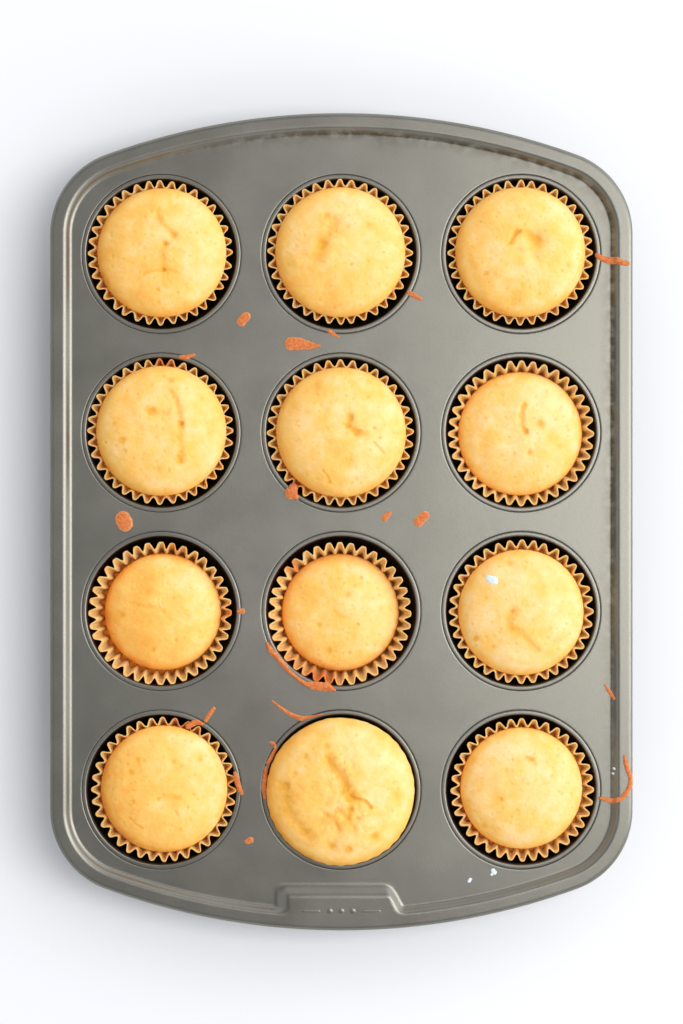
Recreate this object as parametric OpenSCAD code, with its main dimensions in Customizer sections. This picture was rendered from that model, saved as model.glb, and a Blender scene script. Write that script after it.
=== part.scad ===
// Twelve-cup muffin tin, full of baked muffins in paper cases.
// +Z is up and +Y runs along the tin. The origin is under the middle of the tin, level with the
// undersides of the cups. Rows are lettered a to d from the +Y end, columns numbered 1 to 3 from -X.

/* [Tin] */
// Overall length, along Y
tin_l = 393; // [385:1:400]
// Distance between the corners' centres, across the tin
corner_span = 198.9; // [193.8:1.02:204]
// Outer radius of the corners
corner_r = 40.55; // [38:0.05:43]
// Thickness of the steel sheet
sheet_t = 0.5; // [0.4:0.1:0.8]

/* [Rim] */
// Width of the flat flange, with its curl
flange_w = 7.2; // [7:0.1:8]
// Width of the slope from the flange down to the panel
slope_w = 2.4; // [2.2:0.1:3]
// How far the panel lies below the flange
panel_drop = 2.4; // [2:0.1:3]
// Diameter of the wire in the curled edge
wire_d = 2.4; // [2:0.1:2.6]

/* [Cups] */
// Distance between cup centres across the tin
pitch_x = 86.5; // [85:0.1:88]
// Distance between cup centres along the tin
pitch_y = 85.9; // [85:0.1:88]
// Inner diameter of a cup at its mouth
mouth_d = 72.5; // [72:0.1:73.5]
// Inner diameter of a cup at its floor, before the bend
floor_d = 56; // [55.5:0.1:58]
// Inner depth of a cup, from the panel's top to the floor
cup_depth = 30; // [29:0.5:34]
// Width of the rounded bead around a cup's mouth
bead_w = 2.0; // [1.9:0.1:2.1]

/* [Paper cases] */
// Diameter of a paper case's base
case_base_d = 49; // [48:0.5:50]
// Diameter over the pleats at the top, before each case's own spread
case_top_d = 69.8; // [69:0.1:70]
// Height of a paper case
case_h = 30.2; // [29:0.1:31]

/* [Name pad] */
// Width of the raised pad on the front flange
pad_w = 48; // [44:1:52]
// How far the pad reaches in from the tin's edge
pad_reach = 16; // [15:0.5:17]

/* [Hidden] */
$fn = 96;
columns = 3;
rows = 4;
row_letters = "abcd";

panel_z = sheet_t + cup_depth; // top of the panel
flange_z = panel_z + panel_drop; // top of the flange
rim_bend = 2.7; // radius of the rim's two bends, at mid thickness
rim_flat = 3; // flat stretch that joins the rim to the panel

// A bowed end runs smoothly into its corners where their centres lie in line. That line is the long
// side of a 51 : 140 : 149 right triangle, which keeps all the centres at round numbers.
corner_x = corner_span / 2;
bow = [51, 140, 149];
tin_w = corner_span + 2 * corner_r;
end_r = corner_r + corner_x * bow[2] / bow[0];
end_y = tin_l / 2 - end_r; // centre of the far end's bow
corner_y = end_y + corner_x * bow[1] / bow[0];

fit_gap = 0.05; // clearance between pieces that are pressed together
curl_r = wire_d / 2 + fit_gap + sheet_t / 2; // curl's radius at mid thickness
curl_u = -curl_r - sheet_t / 2; // its centre, in from the tin's edge
curl_z = flange_z - sheet_t / 2 - curl_r;
curl_turn = 285; // how far the edge is curled

mouth_r = mouth_d / 2;
bead_bend = bead_w / 2 - sheet_t / 2; // bead's radius at mid thickness
bead_rise = 0.1; // top of the bead above the panel
floor_bend = 2.5; // radius around a cup's floor, at mid thickness
seam_gap = 0.2; // groove between a cup's bead and the collar around it
collar_r = mouth_r + bead_w + seam_gap; // inner radius of a collar around a hole
collar_h = 3; // depth of a collar below the panel's top
collar_flat = 2.5; // flat stretch that joins a collar to the panel
collar_bend = 0.45; // radius of a collar's bend, at mid thickness
hook_bend = 0.4; // radius of the bends that hook a cup's lip under its collar
lip_gap = 0.4; // end of the lip below the panel's underside

paper_t = 0.35; // a paper case's wall: its thin pleats, taken as a plain cone of the same mass
case_bend = 1; // radius around a case's base, at mid thickness
case_z = sheet_t + fit_gap;
pleat_top = 3.2; // how far the pleats fold in from that cone at the top
pleat_foot = 0.6; // and at the base
paper_gap = 0.2; // cake from the folds
foot_z = case_z + paper_t + fit_gap; // underside of the cakes

pad_back = -tin_l / 2 + flange_w - 1.6; // where the pad runs into the flange
pad_front = -tin_l / 2 + pad_reach;
pad_left = 3.6; // how far the pad's left side slopes out
pad_right = 6; // and its right side and its front
motif_h = 0.3; // raised height of the pad's plain motif
motif_y = -tin_l / 2 + 9.5;
motif_root = 0.1; // how far the motif and the pad reach into the sheet

// How each muffin sits: [case x, case y, extra case radius, cake x, cake y, cake radius, dome height].
// All are in millimetres, and x and y are measured from the cup's centre.
seats = [
    [-0.6, 0.5, 0.0, 0.2, 0.5, 31.0, 11.5],
    [-0.6, 1.0, 0.2, -0.5, 0.8, 31.2, 12.0],
    [-0.4, 0.6, 0.1, -0.4, 0.8, 31.2, 11.5],
    [-0.6, 0.4, 0.3, -0.1, 0.7, 31.2, 12.0],
    [-0.5, -0.1, 0.4, -0.1, 0.1, 31.2, 12.5],
    [0.0, -0.4, 0.2, -0.3, -0.5, 29.8, 11.0],
    [-0.6, -1.2, -0.5, 0.4, -0.5, 28.1, 10.5],
    [-0.7, -1.3, -0.5, -0.5, -0.8, 28.2, 10.5],
    [0.0, -0.3, -0.1, 0.0, -0.7, 30.2, 11.5],
    [1.0, 0.1, 0.0, 1.3, 0.4, 30.4, 11.0],
    [-0.2, -0.4, 0.0, -0.3, -0.6, 31.0, 13.5],
    [0.5, -0.1, -0.5, 0.2, 0.6, 29.3, 11.0]
];
overflowing = 10; // the muffin that has risen over its cup's rim
cap_r = 35.5; // radius of its spread cap
cap_bend = 1.4; // radius under the cap's edge
cap_z = panel_z + 1.2; // underside of the cap, clear of bead and paper
neck_z = case_z + case_h - 1.5; // top of its straight side
dome_steps = 12;

function letter(i) = row_letters[floor(i / columns)];
function tag(i) = str(letter(i), i % columns + 1);
function cup_centre(i) = [
    (i % columns - (columns - 1) / 2) * pitch_x,
    ((rows - 1) / 2 - floor(i / columns)) * pitch_y
];

places = [for (i = [0 : columns * rows - 1]) i];

// ---- Bent sheet: a path at mid thickness, given a thickness ----

function unit(v) = v / norm(v);
function left_of(v) = [-v[1], v[0]];
function cross_z(a, b) = a[0] * b[1] - a[1] * b[0];

// Points of an arc, from angle a0 to angle a1
function arc(centre, r, a0, a1, steps = 4) = [
    for (k = [0 : steps]) let (a = a0 + (a1 - a0) * k / steps) centre + r * [cos(a), sin(a)]
];

// The corner at b, on the way from a to c, rounded with radius r
function bend(a, b, c, r, steps = 4) =
    let (
        from = unit(b - a),
        to = unit(c - b),
        turn = atan2(cross_z(from, to), from * to),
        side = sign(turn),
        centre = b - from * r * tan(abs(turn) / 2) + left_of(from) * r * side,
        start = atan2(from[1], from[0]) - 90 * side
    )
    arc(centre, r, start, start + turn, steps);

function flat(lists) = [for (l = lists) each l];

// A path through the points, with every inner corner rounded with its own radius
function bent(p, radii) = flat([
    [p[0]],
    flat([for (k = [1 : len(p) - 2]) bend(p[k - 1], p[k], p[k + 1], radii[k - 1])]),
    [p[len(p) - 1]]
]);

// Unit normal of the path at point k, scaled so that both sides stay at even thickness
function mitre(p, k) =
    let (
        before = unit(p[max(k, 1)] - p[max(k, 1) - 1]),
        after = unit(p[min(k, len(p) - 2) + 1] - p[min(k, len(p) - 2)]),
        middle = unit(before + after)
    )
    left_of(middle) / (middle * before);

module ribbon(path, t) {
    last = len(path) - 1;
    polygon(concat(
        [for (k = [0 : last]) path[k] + mitre(path, k) * t / 2],
        [for (k = [last : -1 : 0]) path[k] - mitre(path, k) * t / 2]
    ));
}

// ---- The tin's outline: straight sides, round corners and bowed ends ----

// The sector of one bowed end, seen from its centre
module end_sector() {
    x = corner_x + bow[0];
    y = corner_y + bow[1];
    polygon([[0, end_y], [x, y], [-x, y]]);
}

// The sector of the corner in the first quadrant, seen from its centre
module corner_sector() {
    x = corner_x + bow[0];
    y = corner_y + bow[1];
    polygon([[corner_x, corner_y], [tin_w, corner_y], [tin_w, y], [x, y]]);
}

// Copies its children to both ends, or to all four quarters
module both_ends() {
    for (end = [0, 1])
        mirror([0, end, 0])
            children();
}

module all_quarters() {
    both_ends()
        for (side = [0, 1])
            mirror([side, 0, 0])
                children();
}

module outline(inset) {
    square([tin_w - 2 * inset, 2 * corner_y], center = true);
    both_ends()
        intersection() {
            translate([0, end_y])
                circle(end_r - inset, $fn = 360);
            end_sector();
        }
    all_quarters()
        intersection() {
            translate([corner_x, corner_y])
                circle(corner_r - inset);
            corner_sector();
        }
}

// Sweeps a profile around the outline. The profile's x is 0 at the edge and negative inward.
module around_outline() {
    for (side = [0, 1])
        mirror([side, 0, 0])
            rotate([90, 0, 0])
                linear_extrude(2 * corner_y, center = true)
                    translate([tin_w / 2, 0])
                        children();
    both_ends()
        intersection() {
            translate([0, end_y, 0])
                rotate_extrude($fn = 360)
                    translate([end_r, 0])
                        children();
            linear_extrude(2 * flange_z)
                end_sector();
        }
    all_quarters()
        intersection() {
            translate([corner_x, corner_y, 0])
                rotate_extrude()
                    translate([corner_r, 0])
                        children();
            linear_extrude(2 * flange_z)
                corner_sector();
        }
}

// ---- Top sheet ----

module rim_profile() {
    mid_panel = panel_z - sheet_t / 2;
    mid_flange = flange_z - sheet_t / 2;
    inner = -flange_w - slope_w;
    slope = bent(
        [[inner - rim_flat, mid_panel], [inner, mid_panel], [-flange_w, mid_flange], [curl_u, mid_flange]],
        [rim_bend, rim_bend]
    );
    curl = arc([curl_u, curl_z], curl_r, 90, 90 - curl_turn, 16);
    ribbon(concat([for (k = [0 : len(slope) - 2]) slope[k]], curl), sheet_t);
}

// The turned-down edge of one hole in the panel
module collar_profile() {
    mid = collar_r + sheet_t / 2;
    mid_panel = panel_z - sheet_t / 2;
    ribbon(
        bent([[mid + collar_flat, mid_panel], [mid, mid_panel], [mid, panel_z - collar_h]], [collar_bend]),
        sheet_t
    );
}

module panel() {
    translate([0, 0, panel_z - sheet_t])
        linear_extrude(sheet_t)
            difference() {
                outline(flange_w + slope_w + rim_flat / 2);
                for (i = places)
                    translate(cup_centre(i))
                        circle(collar_r + sheet_t / 2 + collar_flat / 2);
            }
}

// The raised pad's outline: at its top where spread is 0, and at its foot where it is 1
module pad_plan(spread) {
    polygon([
        [-pad_w / 2 - spread * pad_left, pad_back],
        [-pad_w / 2 - spread * pad_left, pad_front],
        [-pad_w / 2, pad_front + spread * pad_right],
        [pad_w / 2, pad_front + spread * pad_right],
        [pad_w / 2 + spread * pad_right, pad_front],
        [pad_w / 2 + spread * pad_right, pad_back]
    ]);
}

module pad_block(top, foot) {
    hull() {
        translate([0, 0, top - motif_root])
            linear_extrude(motif_root)
                pad_plan(0);
        translate([0, 0, foot])
            linear_extrude(motif_root)
                pad_plan(1);
    }
}

// A plain raised motif: three dots between two short bars
module motif() {
    dot_d = 3;
    dot_step = 5.5;
    bar = [9, 1.5];
    bar_x = 14.5;
    translate([0, motif_y, flange_z - motif_root])
        linear_extrude(motif_root + motif_h) {
            for (k = [-1, 0, 1])
                translate([k * dot_step, 0])
                    circle(d = dot_d);
            for (side = [-1, 1])
                translate([side * bar_x, 0])
                    square(bar, center = true);
        }
}

module top_sheet() {
    color([0.52, 0.52, 0.49]) {
        difference() {
            union() {
                around_outline() rim_profile();
                panel();
                for (i = places)
                    translate(cup_centre(i))
                        rotate_extrude()
                            collar_profile();
                pad_block(flange_z, panel_z - motif_root);
            }
            pad_block(flange_z - sheet_t, panel_z - 2 * sheet_t);
        }
        motif();
    }
}

module rim_wire() {
    color([0.62, 0.62, 0.62])
        around_outline()
            translate([curl_u, curl_z])
                circle(d = wire_d, $fn = 48);
}

// ---- Cups ----

// Mid-thickness path of a cup, from the middle of its floor to its hooked lip
function cup_path() =
    let (
        mid_wall = mouth_r + sheet_t / 2,
        leg = mid_wall + 2 * bead_bend,
        bead_z = panel_z + bead_rise - sheet_t / 2 - bead_bend,
        hook_z = panel_z - collar_h - fit_gap - sheet_t / 2,
        lip = collar_r + 1.5 * sheet_t + 2 * fit_gap,
        body = bent([[0, sheet_t / 2], [floor_d / 2, sheet_t / 2], [mid_wall, bead_z]], [floor_bend]),
        bead = arc([mid_wall + bead_bend, bead_z], bead_bend, 180, 0, 6),
        hook = bent(
            [[leg, bead_z], [leg, hook_z], [lip, hook_z], [lip, panel_z - sheet_t - lip_gap]],
            [hook_bend, hook_bend]
        )
    )
    concat(
        [for (k = [0 : len(body) - 2]) body[k]],
        bead,
        [for (k = [1 : len(hook) - 1]) hook[k]]
    );

module cup(i) {
    color([0.45, 0.45, 0.42])
        translate(cup_centre(i))
            rotate_extrude()
                ribbon(cup_path(), sheet_t);
}

// ---- Paper cases ----

module paper_case(i) {
    mid_top = case_top_d / 2 + seats[i][2] - paper_t / 2;
    mid_base = case_base_d / 2 - paper_t / 2;
    path = bent([[0, paper_t / 2], [mid_base, paper_t / 2], [mid_top, case_h]], [case_bend]);
    color([0.86, 0.62, 0.34])
        translate(concat(cup_centre(i) + [seats[i][0], seats[i][1]], case_z))
            rotate_extrude()
                ribbon(path, paper_t);
}

// ---- Cakes ----

// Inner radius of a case's folds at height z
function fold_r(i, z) =
    let (
        foot = case_base_d / 2 - pleat_foot,
        top = case_top_d / 2 + seats[i][2] - pleat_top
    )
    foot + (top - foot) * (z - case_z) / case_h - paper_t;

// Height at which a case's folds have inner radius r
function fold_z(i, r) =
    let (foot = fold_r(i, case_z), top = fold_r(i, case_z + case_h))
    case_z + case_h * (r - foot) / (top - foot);

// How far a cake's middle is from its case's
function lean(i) = norm([seats[i][3] - seats[i][0], seats[i][4] - seats[i][1]]);

// A cake's side, from its foot to its widest point, as (r, z)
function foot(i) = [fold_r(i, foot_z) - lean(i) - paper_gap, foot_z];
function plain_side(i) =
    let (edge_r = seats[i][5])
    [foot(i), [edge_r, min(fold_z(i, edge_r + lean(i) + paper_gap), case_z + case_h)]];
function spread_side(i) = concat(
    [foot(i), [seats[i][5] - lean(i) - paper_gap, neck_z]],
    arc([cap_r - cap_bend, cap_z + cap_bend], cap_bend, -90, 0)
);

// The dome over a side that ends at the given edge
function dome(edge, height) = [
    for (k = [1 : dome_steps])
        let (a = 90 * k / dome_steps)
        [edge[0] * cos(a), edge[1] + height * sin(a)]
];

module cake(i) {
    side = i == overflowing ? spread_side(i) : plain_side(i);
    color([0.98, 0.84, 0.52])
        translate(cup_centre(i) + [seats[i][3], seats[i][4]])
            rotate_extrude()
                polygon(concat([[0, foot_z]], side, dome(side[len(side) - 1], seats[i][6])));
}

top_sheet();
rim_wire();
for (i = places) {
    cup(i);
    paper_case(i);
    cake(i);
}
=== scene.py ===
"""Visual model of a twelve-cup muffin tin, full of muffins in paper cases, built round its CAD frame."""
import math
import random

import bmesh
import bpy
import numpy as np
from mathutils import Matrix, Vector, geometry, kdtree, noise


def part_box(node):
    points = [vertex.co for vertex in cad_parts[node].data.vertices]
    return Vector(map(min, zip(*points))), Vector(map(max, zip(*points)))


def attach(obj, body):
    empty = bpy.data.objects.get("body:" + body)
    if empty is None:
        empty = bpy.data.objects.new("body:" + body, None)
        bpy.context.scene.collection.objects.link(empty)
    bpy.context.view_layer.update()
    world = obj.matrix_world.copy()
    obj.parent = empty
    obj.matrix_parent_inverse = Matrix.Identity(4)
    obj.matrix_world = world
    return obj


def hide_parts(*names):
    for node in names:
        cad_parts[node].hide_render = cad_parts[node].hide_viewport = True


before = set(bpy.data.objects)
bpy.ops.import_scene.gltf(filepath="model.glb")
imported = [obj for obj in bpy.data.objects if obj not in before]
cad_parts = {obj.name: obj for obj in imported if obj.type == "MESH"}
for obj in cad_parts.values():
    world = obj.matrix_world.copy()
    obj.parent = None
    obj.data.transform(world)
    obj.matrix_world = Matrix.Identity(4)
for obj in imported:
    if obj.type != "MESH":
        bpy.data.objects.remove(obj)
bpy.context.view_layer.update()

MM = 0.001
TAGS = [f"{letter}{column}" for letter in "abcd" for column in (1, 2, 3)]
OVERFLOWING = "d2"  # the muffin that has risen over its cup's rim

# ---------------------------------------------------------------- the tin's sizes, in metres

SHEET_T = 0.5 * MM
FLANGE_W = 7.2 * MM  # flange, with its curl
SLOPE_W = 2.4 * MM  # slope from the flange down to the panel
PANEL_DROP = 2.4 * MM
RIM_BEND = 2.7 * MM  # the slope's two bends, at mid thickness
CORNER_R = 40.55 * MM
BOW = (51, 140, 149)  # right triangle along whose long side a bowed end meets its corner
WIRE_D = 2.4 * MM
CURL_TURN = 285  # degrees that the curl goes round the wire
FIT_GAP = 0.05 * MM  # between pieces that touch
MOUTH_R = 36.25 * MM
FLOOR_R = 28 * MM
FLOOR_BEND = 2.5 * MM
BEAD_W = 2.0 * MM  # a cup's folded top edge
BEAD_RISE = 0.1 * MM
BEAD_BEND = 0.4 * MM
SEAM_GAP = 0.05 * MM  # fine groove round the bead
COLLAR_H = 3 * MM  # the sheet's turned-down hole edge
COLLAR_BEND = 0.25 * MM
HOOK_BEND = 0.4 * MM
LIP_GAP = 0.4 * MM  # between a cup's hooked lip and the sheet
CASE_H = 30.2 * MM
CASE_BASE_R = 24.5 * MM
CASE_FLARE = 0.9 * MM  # how far the wall turns out over its top part
PLEAT_DEPTH = 3.6 * MM
PLEAT_FOOT = 0.6 * MM
PLEATS = 36
PER_PLEAT = 12  # points round each pleat
CASE_POINTS = PLEATS * PER_PLEAT  # points round a case or a cake
FOLDS_R = 31 * MM  # how far from the middle the pleats' inner folds stand at the top
PAPER_T = 0.4 * MM
PAD_REACH = 16 * MM
PAD_RAMP = 6.5 * MM  # length of the pad's ramp towards the cups
PAD_LEFT = (-32 * MM, -25 * MM)  # foot and top of its left ramp
PAD_RIGHT = (23 * MM, 27.5 * MM)  # top and foot of its right ramp, at the end of its reach
PAD_SLANT = 0.53  # how much farther out the right ramp stands for each step towards the edge
MOTIF_IN = 9.5 * MM  # distance of the pad's motif from the tin's edge
MOTIF_H = 0.3 * MM
CUP_POINTS = 128  # points round a cup or a hole
FINE_STEP = 0.8 * MM  # longest step across the sheet's rim and collars


def box_of(node):
    """A CAD node's lowest and highest corners, as arrays."""
    lo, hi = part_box(node)
    return np.array(lo), np.array(hi)


tin_lo, tin_hi = box_of("top_sheet")
TIN_W, TIN_L = tin_hi[0] - tin_lo[0], tin_hi[1] - tin_lo[1]
FLANGE_Z = tin_hi[2] - MOTIF_H
PANEL_Z = FLANGE_Z - PANEL_DROP
MID_PANEL = PANEL_Z - SHEET_T / 2
MID_FLANGE = FLANGE_Z - SHEET_T / 2
CORNER_X = TIN_W / 2 - CORNER_R
END_R = CORNER_R + CORNER_X * BOW[2] / BOW[0]
END_Y = TIN_L / 2 - END_R
CORNER_Y = END_Y + CORNER_X * BOW[1] / BOW[0]
CURL_R = WIRE_D / 2 + FIT_GAP + SHEET_T / 2
CURL_U = -CURL_R - SHEET_T / 2
CURL_Z = MID_FLANGE - CURL_R
COLLAR_R = MOUTH_R + BEAD_W + SEAM_GAP
HALF_END = math.atan2(BOW[0], BOW[1])  # half the angle that a bowed end spans
RIM_FOOT = -FLANGE_W - SLOPE_W
RIM_IN = RIM_FOOT - 1.6 * MM  # where the rim's strips end and the panel's triangles begin
PAD_Y = -TIN_L / 2 + PAD_REACH


def centre_of(node):
    lo, hi = box_of(node)
    return (lo[:2] + hi[:2]) / 2


def radius_of(node):
    lo, hi = box_of(node)
    return (hi[0] - lo[0]) / 2


CUPS = {tag: centre_of(f"cup_{tag}") for tag in TAGS}


def to_nearest_cup(x, y):
    """Distance from a point to the middle of the nearest cup."""
    return min(math.hypot(x - cx, y - cy) for cx, cy in CUPS.values())


# ---------------------------------------------------------------- paths and meshes


def arc(centre, r, a0, a1, steps):
    """Points of an arc from angle a0 to angle a1, in degrees."""
    angles = np.radians(np.linspace(a0, a1, steps + 1))
    return [np.array([centre[0] + r * math.cos(a), centre[1] + r * math.sin(a)]) for a in angles]


def bend(a, b, c, r, steps):
    """The corner at b, on the way from a to c, rounded with radius r."""
    a, b, c = (np.array(p, float) for p in (a, b, c))
    before = (b - a) / np.linalg.norm(b - a)
    after = (c - b) / np.linalg.norm(c - b)
    turn = math.degrees(math.atan2(before[0] * after[1] - before[1] * after[0], before @ after))
    side = math.copysign(1, turn)
    left = np.array([-before[1], before[0]])
    centre = b - before * r * math.tan(math.radians(abs(turn)) / 2) + left * r * side
    start = math.degrees(math.atan2(before[1], before[0])) - 90 * side
    return arc(centre, r, start, start + turn, steps)


def bent(points, radii, steps=8):
    """A path through the points, with every inner corner rounded with its own radius."""
    path = [np.array(points[0], float)]
    for k, r in enumerate(radii):
        path += bend(points[k], points[k + 1], points[k + 2], r, steps)
    return path + [np.array(points[-1], float)]


def circle(centre, r, count):
    """Points of a whole circle."""
    angles = np.linspace(0, 2 * math.pi, count, endpoint=False)
    return [(centre[0] + r * math.cos(a), centre[1] + r * math.sin(a)) for a in angles]


def subdivided(path, longest):
    """The path with extra points, so that no step is over the longest."""
    out = [path[0]]
    for a, b in zip(path, path[1:]):
        n = max(1, math.ceil(np.linalg.norm(b - a) / longest))
        out += [a + (b - a) * (k + 1) / n for k in range(n)]
    return out


def smoothstep(lo, hi, x):
    """Rises softly from 0 at lo to 1 at hi, or falls if hi is the lower."""
    t = np.clip((np.asarray(x, float) - lo) / (hi - lo), 0, 1)
    return t * t * (3 - 2 * t)


def bell(far, width):
    """Falls softly from 1 at no distance to nearly 0 at twice the width."""
    return np.exp(-((far / width) ** 2))


def fractal(p, size, octaves, seed):
    """Smooth noise from about -1 to 1 at a point, with features of the given size in the same unit."""
    q = Vector((p[0], p[1], p[2] if len(p) > 2 else 0.0)) / size + Vector((seed, seed * 1.7, seed * 0.6))
    return noise.fractal(q, 0.6, 2.0, octaves)


def fractals(points, size, octaves, seed):
    return np.array([fractal(p, size, octaves, seed) for p in points])


def add_to_scene(name, data):
    """A new object for a mesh, a light or a camera."""
    obj = bpy.data.objects.new(name, data)
    bpy.context.scene.collection.objects.link(obj)
    return obj


def new_object(name, verts, faces, material, smooth=True):
    mesh = bpy.data.meshes.new(name)
    mesh.from_pydata([tuple(v) for v in verts], [], faces)
    mesh.validate()
    if smooth:
        mesh.shade_smooth()
    mesh.materials.append(material)
    return add_to_scene(name, mesh)


def end_cap(count, n):
    """A face over the last n of a number of points."""
    return tuple(range(count - n, count))


def ring_faces(rings, n):
    """Quads between consecutive rings of n points each."""
    faces = []
    for j in range(rings - 1):
        for i in range(n):
            a, b = j * n + i, j * n + (i + 1) % n
            faces.append((a, b, b + n, a + n))
    return faces


def lathe(path, centre, count):
    """Vertices and faces of a path of (r, z) turned about an upright axis."""
    verts = [(x, y, z) for r, z in path for x, y in circle(centre, r, count)]
    return verts, ring_faces(len(path), count)


def solidify(obj, thickness, offset=0.0):
    """Thickens a sheet: half to each side, or all to the side behind its faces at offset -1."""
    mod = obj.modifiers.new("thickness", "SOLIDIFY")
    mod.thickness = thickness
    mod.offset = offset
    mod.use_even_offset = True
    return obj


def place(obj, body, slot, *nodes):
    """Rides a piece on a body and lets it stand for CAD nodes. Its slot, the finish's name, is not used.
    """
    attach(obj, body)
    if nodes:
        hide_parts(*nodes)
    return obj


def set_attribute(obj, name, values):
    """A number for each vertex, which a material can read."""
    layer = obj.data.attributes.new(name, "FLOAT", "POINT")
    layer.data.foreach_set("value", np.asarray(values, np.float32))


# ---------------------------------------------------------------- materials


class Nodes:
    """A node tree, with short calls that add nodes to it."""

    def __init__(self, tree):
        self.tree = tree

    def set(self, node, socket, value):
        """Gives one of a node's inputs a value, or links another node's output to it."""
        target = node.inputs[socket]
        if isinstance(value, bpy.types.NodeSocket):
            self.tree.links.new(value, target)
        else:
            target.default_value = value

    def add(self, kind, inputs=None, **settings):
        node = self.tree.nodes.new("ShaderNode" + kind)
        for key, value in settings.items():
            setattr(node, key, value)
        for socket, value in (inputs or {}).items():
            self.set(node, socket, value)
        return node

    def maths(self, operation, a, b=0.0, clamp=False):
        node = self.add("Math", {0: a, 1: b}, operation=operation)
        node.use_clamp = clamp
        return node.outputs[0]

    def between(self, value, from_min, from_max, to_min=0.0, to_max=1.0):
        """Takes a value from one range to another with a soft start and end."""
        inputs = {"Value": value, "From Min": from_min, "From Max": from_max,
                  "To Min": to_min, "To Max": to_max}
        return self.add("MapRange", inputs, interpolation_type="SMOOTHSTEP").outputs["Result"]


class Shader(Nodes):
    """A material on one Principled shader. Its keywords set inputs, with underscores for spaces."""

    def __init__(self, name, **values):
        self.material = bpy.data.materials.new(name)
        self.material.use_nodes = True
        super().__init__(self.material.node_tree)
        self.bsdf = self.tree.nodes["Principled BSDF"]
        for socket, value in values.items():
            self.set(self.bsdf, socket.replace("_", " "), value)
        self.where = self.add("TexCoord").outputs["Object"]

    def noise(self, size, detail=3.0, roughness=0.55):
        """Noise from 0 to 1 with features of about the given size in metres."""
        inputs = {"Vector": self.where, "Scale": 1 / size, "Detail": detail, "Roughness": roughness}
        return self.add("TexNoise", inputs).outputs["Fac"]

    def ramp(self, value, *stops):
        """A colour ramp through (position, colour) stops. A colour may be one grey number."""
        node = self.add("ValToRGB", {"Fac": value})
        elements = node.color_ramp.elements
        while len(elements) < len(stops):
            elements.new(0.5)
        for element, (position, colour) in zip(elements, stops):
            element.position = position
            grey = isinstance(colour, (int, float))
            element.color = (colour,) * 3 + (1,) if grey else tuple(colour) + (1,)
        return node.outputs["Color"]

    def mix(self, factor, a, b, blend="MIX"):
        """A blend of two colours. Their sockets have numbers, as several share the names A and B."""
        node = self.add("Mix", {"Factor": factor}, data_type="RGBA", blend_type=blend)
        for index, value in ((6, a), (7, b)):
            value = value + (1,) if isinstance(value, tuple) else value
            self.set(node, index, value)
        return node.outputs[2]

    def bump(self, *layers):
        """Adds bumps, each (height from 0 to 1, depth in metres)."""
        normal = None
        for height, depth in layers:
            node = self.add("Bump", {"Height": height, "Distance": depth, "Strength": 1.0})
            if normal:
                self.set(node, "Normal", normal)
            normal = node.outputs[0]
        self.set(self.bsdf, "Normal", normal)

    def attribute(self, name):
        return self.add("Attribute", attribute_name=name).outputs["Fac"]


def coated_steel(name, darkened=False):
    """Satin grey non-stick coating: a fine speckle, faint marbling, a few baked-on stains, and dark
    brown where the groove attribute is high, partly baked-on dirt and partly painted shade. A darkened
    one is near black below the panel, which is painted shade for the narrow gap inside a cup."""
    s = Shader(name, Metallic=0.85)
    speckle = s.noise(0.5 * MM, 2.0)
    clouds = s.noise(28 * MM, 4.0)
    base = s.ramp(speckle, (0.3, (0.198, 0.192, 0.168)), (0.7, (0.234, 0.227, 0.200)))
    colour = s.mix(1.0, base, s.ramp(clouds, (0.3, 0.90), (0.7, 1.05)), "MULTIPLY")
    amber = s.ramp(s.noise(17 * MM, 5.0, 0.7), (0.66, 0.0), (0.82, 0.3))
    colour = s.mix(amber, colour, (0.22, 0.175, 0.10))
    # partly baked-on dirt, partly painted shade: dark brown at the foot of the slope, most at the upper
    # right, where the slope lies in shade
    uneven = s.ramp(s.noise(5 * MM, 4.0), (0.36, 0.0), (0.56, 0.9))
    grime_and_shade = s.maths("MULTIPLY", s.attribute("groove"), uneven)
    colour = s.mix(grime_and_shade, colour, (0.085, 0.066, 0.038))
    # painted shade: near black below the panel, for the dark narrow gap between a cup and its paper case
    if darkened:
        height = s.add("SeparateXYZ", {"Vector": s.where}).outputs["Z"]
        above_painted_shade = s.between(height, PANEL_Z - 3 * MM, PANEL_Z - 0.1 * MM)
        colour = s.mix(above_painted_shade, (0.035, 0.024, 0.015), colour)
    s.set(s.bsdf, "Base Color", colour)
    s.set(s.bsdf, "Roughness", s.ramp(clouds, (0.3, 0.31), (0.7, 0.36)))
    s.bump((speckle, 0.012 * MM), (s.noise(2.2 * MM, 2.0), 0.02 * MM))
    return s.material


def drawn_wire():
    s = Shader("drawn_wire", Metallic=1.0)
    lines = s.noise(0.4 * MM, 2.0)
    s.set(s.bsdf, "Base Color", s.ramp(lines, (0.3, (0.42, 0.42, 0.42)), (0.7, (0.60, 0.60, 0.58))))
    s.set(s.bsdf, "Roughness", s.ramp(lines, (0.3, 0.30), (0.7, 0.42)))
    s.bump((lines, 0.02 * MM))
    return s.material


def baking_paper():
    """Tan greaseproof paper with a fibrous mottle, pale along its cut edge and brown where toasted."""
    s = Shader("baking_paper", Roughness=0.78, Specular_IOR_Level=0.25, Subsurface_Weight=0.6,
               Subsurface_Scale=3 * MM, Subsurface_Radius=(1.0, 0.45, 0.15))
    fibre = s.noise(1.4 * MM, 5.0, 0.7)
    plain = s.ramp(fibre, (0.3, (0.82, 0.44, 0.155)), (0.7, (0.92, 0.56, 0.23)))
    pale = s.mix(s.attribute("edge"), plain, (0.86, 0.50, 0.20))
    mottle = s.maths("MULTIPLY", s.noise(9 * MM), 0.15)
    toast = s.maths("ADD", s.attribute("toast"), mottle, clamp=True)
    s.set(s.bsdf, "Base Color", s.mix(toast, pale, (0.64, 0.17, 0.04)))
    s.bump((fibre, 0.06 * MM))
    return s.material


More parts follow.
